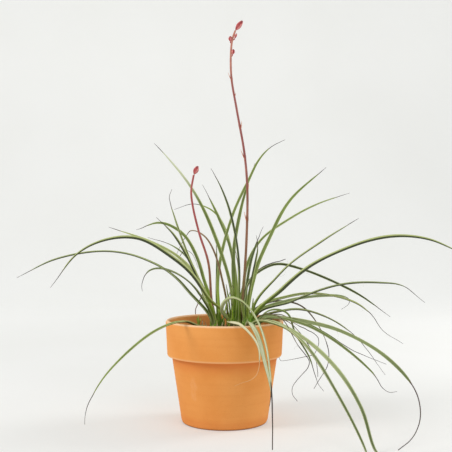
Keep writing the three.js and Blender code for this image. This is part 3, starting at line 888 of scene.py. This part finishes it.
def crown_piece(node, seed):
    """A crown: a low lobed dome, whose height is the sine of the way up and its reach the
    square root of the cosine, and scales round it in a spiral, each a golden angle on."""
    chance = np.random.default_rng(seed)
    low, high = (np.array(v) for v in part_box(node))
    shift, tight = gathers[node[6]]
    x, y = (low[:2] + high[:2]) / 2 + shift
    radius = (high[0] - low[0]) / 2 * (0.35 + 0.65 * tight)
    t = np.linspace(0, 1, 14)[:, None]
    angle = np.arange(48) * 2 * math.pi / 48
    lobes = 1 + 0.05 * np.sin(angle * 9 + seed)
    reach = radius * 0.96 * np.cos(t * math.pi / 2) ** 0.5 * lobes + 0.05 * MM
    top = low[2] - 0.6 * MM + (high[2] - low[2]) * 0.4 * np.sin(t * math.pi / 2)
    dome = np.stack([x + reach * np.cos(angle), y + reach * np.sin(angle),
                     top + 0 * angle], axis=2)
    grids, tips = [dome], [np.full(len(t), 0.25)]
    for i in range(crown_scales):
        turn = i * golden_angle + seed
        share = math.sqrt((i + 0.5) / crown_scales)
        out = np.array([math.cos(turn), math.sin(turn)])
        foot = np.array([*(np.array([x, y]) + out * radius * 0.93 * share), low[2] - 0.3 * MM])
        tall = chance.uniform(9, 19) * MM * (1.5 - share * 0.9) + high[2] - low[2]
        half = chance.uniform(1.6, 2.6) * MM
        grid, way_up = scale_grid(foot, out, tall, half, chance.uniform(0.5, 3.5) * MM * share,
                                  chance.uniform(-0.3, 0.3))
        grids.append(grid)
        tips.append(way_up)
    piece = put_tubes("sheaths_" + node[6:], grids, sheath, {"tip": tips})
    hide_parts(node)


crown_nodes = sorted(n for n in frame["nodes"] if n.startswith("crown_"))
for order, node in enumerate(crown_nodes):
    crown_piece(node, 20 + order)


young_rows = 26


def young_leaves(key, count, tall, seed):
    """The short inner leaves of a crown: each rises from inside the crown and leans out as
    the 1.6th power of the way up."""
    chance = np.random.default_rng(seed)
    grids, drys, shades = [], [], []
    middle = crown_places[key] + gathers[key][0]
    for i in range(count):
        turn = chance.uniform(0, 2 * math.pi)
        out = np.array([math.cos(turn), math.sin(turn), 0])
        foot = np.array([*middle, soil_top]) + out * chance.uniform(2, 8) * MM
        height, lean = chance.uniform(*tall) * MM, chance.uniform(2, 14) * MM
        t = np.linspace(0, 1, young_rows)
        line = foot + t[:, None] * np.array([0, 0, height]) + (lean * t ** 1.6)[:, None] * out
        side = np.cross(out, [0, 0, 1.0]) + 0 * line
        wide = chance.uniform(1.3, 2.2) * MM * np.sqrt(np.clip(1 - t ** 2.2, 0.01, 1))
        dry = ramp(t, 0.9, 1.0)
        grids.append(blade_grid(line, side, wide, dry * 0.9))
        drys.append(dry)
        shades.append(np.full(young_rows, chance.uniform(0, 1)))
    fresh = [np.full(young_rows, freshness[key])] * count
    fade = [np.zeros(young_rows)] * count
    piece = put_tubes("young_leaves_" + key, grids, looks["leaf"],
                      {"dry": drys, "shade": shades, "fade": fade, "fresh": fresh})


for order, (key, count, tall) in enumerate([("a", 7, (18, 62)), ("b", 8, (22, 80)),
                                            ("c", 7, (14, 50)), ("d", 5, (8, 26))]):
    young_leaves(key, count, tall, 60 + order)


# --------------------------------------------------------- stalks and flowers

def rod_grid(line, radius, sides=20, ribs=0.0, seed=0.0):
    """A round rod along a line; ribs swell it a little three times round."""
    along, side, up = frames(line, np.array([[0.0, 1.0, 0.0]]) + 0 * line)
    angle = np.arange(sides) * 2 * math.pi / sides
    r = radius[:, None] * (1 + ribs * np.cos(angle * 3 + seed)[None, :])
    return (line[:, None] + side[:, None] * (r * np.cos(angle))[..., None]
            + up[:, None] * (r * np.sin(angle))[..., None])


def node_tips(node):
    """A bud's two ends: its two points furthest apart, the lower one first, and its radius."""
    points, _ = merged(node)
    gap = np.linalg.norm(points[:, None] - points[None], axis=2)
    i, j = np.unravel_index(np.argmax(gap), gap.shape)
    a, b = sorted([points[i], points[j]], key=lambda p: p[2])
    axis = unit(b - a)
    off = points - a
    return a, b, np.linalg.norm(off - dot(off, axis) * axis, axis=1).max()


bud_nodes = ["bud_tip", "bud_tip_side", "bud_left", "bud_right", "bud_short"]
flake_nodes = ["bract_upper", "bract_middle", "bract_lower"]
# Where the tall stalk swells, and how far from there the swelling has fallen to about a third.
knot_heights, knot_spread = (0.275, 0.319, 0.361, 0.403, 0.467), 2.2 * MM
stalk_lines = {}
for order, node in enumerate(["stalk_tall", "stalk_short"]):
    rings_found = rings_of(node, 8)
    middle = rings_found.mean(axis=1)
    thick = np.linalg.norm(rings_found - middle[:, None], axis=2).mean(axis=1)
    count = int(np.linalg.norm(np.diff(middle, axis=0), axis=1).sum() / (1.5 * MM))
    at = np.linspace(0, len(middle) - 1, count)
    line, radius = between(middle, at), between(thick, at)
    stalk_lines[node] = line
    knots = np.zeros(count)
    for z in knot_heights:
        knots += np.exp(-((line[:, 2] - z) / knot_spread) ** 2)
    rise = 1 + 0.16 * knots * (order == 0) + 0.02 * np.sin(line[:, 2] * 210)
    stalk = put_tubes("flower_" + node, [rod_grid(line, radius * rise, 20, 0.05, order)],
                      stalk_looks[node])
    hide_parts(node)


tall_line = stalk_lines["stalk_tall"]


def stem_at(height):
    """The point of the tall stalk's line nearest to a height."""
    return tall_line[np.argmin(np.abs(tall_line[:, 2] - height))]


def bud_radius(way):
    """A bud's outline: the sine of the way up to the power 1.2, to the power 0.62, so that
    it is fullest past the middle and blunt at both ends."""
    return np.sin(math.pi * way ** 1.2) ** 0.62


def petal_grid(base, tip, radius, turn, wrap, start, lift, rows=18, columns=12):
    """One bud scale: a closed thin shell on the bud's outline. Across it, it wraps a share
    of the way round, less towards its tip; its inner face is a little nearer the axis."""
    t = np.linspace(0, 1, rows)
    axis = unit(tip - base)
    side = unit(np.cross(axis, [0.3, 1.0, 0.2]))
    other = np.cross(axis, side)
    way = start + (1 - start) * t
    body = radius * bud_radius(np.clip(way, 0.02, 0.985))
    span = wrap * np.sqrt(np.clip(1 - t ** 3, 0.0004, 1))
    a = np.linspace(-1, 1, columns // 2)
    outer = turn + span[:, None] * a[None, :]
    inner = outer[:, ::-1]
    shell = np.concatenate([body[:, None] * (1 + lift * t[:, None]) + 0 * outer,
                            body[:, None] * (0.9 + lift * t[:, None]) + 0 * inner], axis=1)
    theta = np.concatenate([outer, inner], axis=1)
    spine = base + way[:, None] * (tip - base)
    return (spine[:, None] + side * (shell * np.cos(theta))[..., None]
            + other * (shell * np.sin(theta))[..., None]), t


def spindle_grid(base, tip, radius, rows=16, columns=16):
    """The bud's heart: the spindle itself, closed at both ends."""
    t = np.linspace(0.01, 0.99, rows)
    line = base + t[:, None] * (tip - base)
    return rod_grid(line, radius * bud_radius(t), columns), t


# How much stouter each bud is than its CAD spindle.
swell = {"bud_tip": 1.18, "bud_tip_side": 1.15, "bud_left": 1.5, "bud_right": 1.35,
         "bud_short": 1.15}
for order, node in enumerate(bud_nodes):
    base, tip, radius = node_tips(node)
    radius = radius * swell[node]
    if node in ("bud_left", "bud_right"):
        stem = stem_at(base[2])
        inward = (stem - base) * [1, 1, 0] * 0.3
        base, tip = base + inward, tip + inward
    grids, tips = [], []
    heart, t = spindle_grid(base, base + (tip - base) * 0.97, radius * 0.86)
    grids.append(heart)
    tips.append(t)
    scales = 9 if radius > 2.5 * MM else 5
    for i in range(scales):
        tier = i // 3
        start = 0.55 * tier / (scales // 3)
        grid, t = petal_grid(base, tip - (tip - base) * 0.06 * (2 - tier),
                             radius * (1.03 - 0.05 * tier), i * 2.2 + order, 0.95, start, 0.06)
        grids.append(grid)
        tips.append(t)
    if node in ("bud_left", "bud_right", "bud_tip_side"):
        below = base - [0, 0, 3 * MM]
        near = tall_line[np.argmin(np.linalg.norm(tall_line - below, axis=1))]
        foot = spline([near, (near + base) / 2 + (base - near) * [0.35, 0.35, -0.1], base,
                       base + (tip - base) * 0.12], 14)
        grids.append(rod_grid(foot, np.linspace(0.75, 0.6, 14) * MM, 10))
        tips.append(np.zeros(14))
    bud = put_tubes("scales_" + node, grids, coral, {"tip": tips})
    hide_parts(node)


def flake_grid(base, tip, half, away, rows=14):
    """A thin pointed flake that clasps the stalk: its line bows away from it, and its width
    falls from the root to a point."""
    t = np.linspace(0, 1, rows)
    bow = np.sin(t * math.pi)[:, None] * away * 0.25 + (t ** 2)[:, None] * away * 0.5
    line = base + t[:, None] * (tip - base) + bow
    side = np.cross(unit(tip - base), unit(away))
    wide = half * (1 - t ** 1.5) ** 0.7 + 0.06 * MM
    return blade_grid(line, side + 0 * line, wide, np.zeros(rows), 0.35, 0.9), t


for node in flake_nodes:
    base, tip, radius = node_tips(node)
    near = stem_at(base[2])
    away = unit((base - near) * [1, 1, 0]) * 1.4 * MM
    root = near + unit(away) * 1.1 * MM - [0, 0, 1.5 * MM]
    grid, t = flake_grid(root, tip, radius * 1.7, away)
    piece = put_tubes("flake_" + node[6:], [grid], flake, {"tip": [t]})
    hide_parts(node)


# Smaller flakes higher and lower on the tall stalk: which way each one leans, and its root's
# height, length and half-width.
small_flakes = []
for lean, height, tall, half in [(1, 0.399, 11, 1.5), (1, 0.315, 10, 1.5), (-1, 0.463, 7, 1.2),
                                 (-1, 0.352, 12, 1.3), (1, 0.443, 5, 1.2)]:
    near = stem_at(height)
    away = np.array([lean, -0.35, 0.0]) * 1.3 * MM
    root = near + away * 0.8
    tip = root + np.array([0, 0, tall * MM]) + away * 0.25
    small_flakes.append(flake_grid(root, tip, half * MM, away))
small_flake = put_tubes("flake_small", [g for g, _ in small_flakes], flake,
                        {"tip": [t for _, t in small_flakes]})


# ------------------------------------------------------------- small extras

def hair_grid(points, radius, rows=26, sides=6):
    """A fine fibre through the given points, thinning evenly to half as thick at its end."""
    return rod_grid(spline(points, rows), np.linspace(radius, radius * 0.5, rows), sides)


def fraying(count, seed):
    """Fibres that have come away from leaf margins: each starts on a leaf's line and curls
    off in an arc."""
    chance = np.random.default_rng(seed)
    grids = []
    names = sorted(leaf_lines)
    for _ in range(count):
        line = leaf_lines[names[chance.integers(len(names))]]
        at = line[int(len(line) * chance.uniform(0.25, 0.75))]
        way = unit(chance.normal(0, 1, 3) * [1, 1, 0.6])
        bend = unit(np.cross(way, chance.normal(0, 1, 3)))
        reach = chance.uniform(5, 16) * MM
        grids.append(hair_grid([at, at + way * reach * 0.4 + bend * reach * 0.1,
                                at + way * reach * 0.75 + bend * reach * 0.35,
                                at + way * reach * 0.85 + bend * reach * 0.75], 0.09 * MM))
    return grids


# Two long loose fibres, one standing up on the left and one lying against the rim on the
# right.
long_hairs = [
    [[-0.062, 0.02, 0.224], [-0.055, 0.018, 0.232], [-0.044, 0.012, 0.226],
     [-0.036, 0.008, 0.207]],
    [[0.127, 0.048, 0.082], [0.1154, 0.035, 0.0821], [0.0959, 0.015, 0.0816],
     [0.0776, 0.0, 0.0816], [0.0743, -0.005, 0.0869]],
]
hairs = put_tubes("margin_fibres", fraying(26, 3), hair_look)
strays = put_tubes("stray_fibres", [hair_grid(p, 0.46 * MM) for p in long_hairs], stray_look)

chance = np.random.default_rng(12)
scraps = []
for x, y in [(-10, -20), (-3.5, -21), (11, -19), (3, -23), (-24, -12), (24, -24), (-31, 14)]:
    foot = np.array([x * MM, y * MM, soil_top - 0.5 * MM])
    turn = chance.uniform(0, 2 * math.pi)
    scraps.append(scale_grid(foot, (math.cos(turn), math.sin(turn)), chance.uniform(9, 15) * MM,
                             chance.uniform(0.7, 1.3) * MM, chance.uniform(2, 6) * MM,
                             chance.uniform(-1, 1))[0])
litter = put_tubes("straw_scraps", scraps, scrap_look)

weeds, weed_tips = [], []
for x, y, top in [(-36, 20, 141), (6, -15, 145)]:
    for i in range(5):
        turn = i * 2.4 + x
        foot = np.array([x * MM, y * MM, soil_top - 1 * MM])
        grid, t = scale_grid(foot, (math.cos(turn), math.sin(turn)),
                             top * MM - foot[2] - i * 1.4 * MM, 1.5 * MM, 4 * MM, 0.4)
        weeds.append(grid)
        weed_tips.append(0.5 + t * 0.5)
weed = put_tubes("weed_sprouts", weeds, weed_look, {"tip": weed_tips})


# ---------------------------------------------------- floor, lights and camera

board_glow, wall_glow = 0.24, 0.37


def board_look():
    """Matt white board with the faintest unevenness and a little glow of its own, as an
    over-lit board has; the glow is stronger further out."""
    look = Look("white_board", Roughness=0.8, Specular_IOR_Level=0.1,
                Emission_Color=paint(254, 255, 252))
    where = look.where()
    glow = look.step(look.out_from_axis(where), 0.2, 1.7, board_glow, wall_glow)
    look.tree.links.new(glow, look.shader.inputs["Emission Strength"])
    haze = look.noise(where, 2.0, 2.0)
    colour = look.mix(look.step(haze, 0.3, 0.7), (206, 206, 204), (209, 209, 208))
    return look.done(colour, None, look.bump(look.noise(where, 300.0), 0.1 * MM, 0.2))


# The board lies flat, then sweeps up behind in a quarter circle and stands.
half_width, front, back, bend_radius, wall_top = 3.2, -3.0, 1.5, 1.0, 2.6
sweep = np.linspace(0, math.pi / 2, 40)
back_y = np.concatenate([[front], back + bend_radius * np.sin(sweep), [back + bend_radius]])
back_z = np.concatenate([[0.0], bend_radius * (1 - np.cos(sweep)), [wall_top]])
left_edge = np.stack([0 * back_y - half_width, back_y, back_z], axis=1)
count = len(left_edge)
row = np.arange(count - 1)
board_faces = np.stack([row, row + count, row + count + 1, row + 1], axis=1)
floor = new_object("floor", np.concatenate([left_edge, left_edge * [-1, 1, 1]]),
                   board_faces.tolist(), board_look())
floor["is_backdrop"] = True


def lamp(name, place, aim, size, power, colour):
    """A round, flat lamp at a place, facing what it aims at."""
    light = bpy.data.lights.new(name, "AREA")
    light.shape = "DISK"
    light.size, light.energy, light.color = size, power, colour
    body = bpy.data.objects.new(name, light)
    body.location = place
    body.rotation_mode = "QUATERNION"
    body.rotation_quaternion = (Vector(aim) - Vector(place)).to_track_quat("-Z", "Y")
    bpy.context.scene.collection.objects.link(body)


middle = (0, 0, 0.2)
lamp("window_left", (-1.6, -0.7, 1.35), middle, 0.75, 17, (1, 0.99, 0.97))
lamp("soft_right", (0.9, -1.5, 1.6), middle, 1.2, 6, (1, 1, 1))
lamp("back_right", (1.3, 0.5, 1.0), middle, 0.7, 9, (1, 0.99, 0.97))

world = bpy.data.worlds.new("studio")
world.use_nodes = True
nodes, links = world.node_tree.nodes, world.node_tree.links
sky = nodes["Background"]
sky.inputs["Color"].default_value = (0.96, 0.97, 0.96, 1)
sky.inputs["Strength"].default_value = 0.58
wall = nodes.new("ShaderNodeBackground")
wall.inputs["Color"].default_value = paint(243, 243, 241)
either = nodes.new("ShaderNodeMixShader")
links.new(nodes.new("ShaderNodeLightPath").outputs["Is Camera Ray"], either.inputs[0])
links.new(sky.outputs[0], either.inputs[1])
links.new(wall.outputs[0], either.inputs[2])
links.new(either.outputs[0], nodes["World Output"].inputs[0])
bpy.context.scene.world = world
bpy.context.scene.view_settings.view_transform = "Standard"

camera_data = bpy.data.cameras.new("camera")
camera_data.sensor_width, camera_data.lens = 36, 65.31
camera = bpy.data.objects.new("camera", camera_data)
camera.location = (0.0019, -1.1186, 0.2655)
camera.rotation_euler = (math.pi / 2, 0, 0)
bpy.context.scene.collection.objects.link(camera)
bpy.context.scene.camera = camera

low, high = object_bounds()
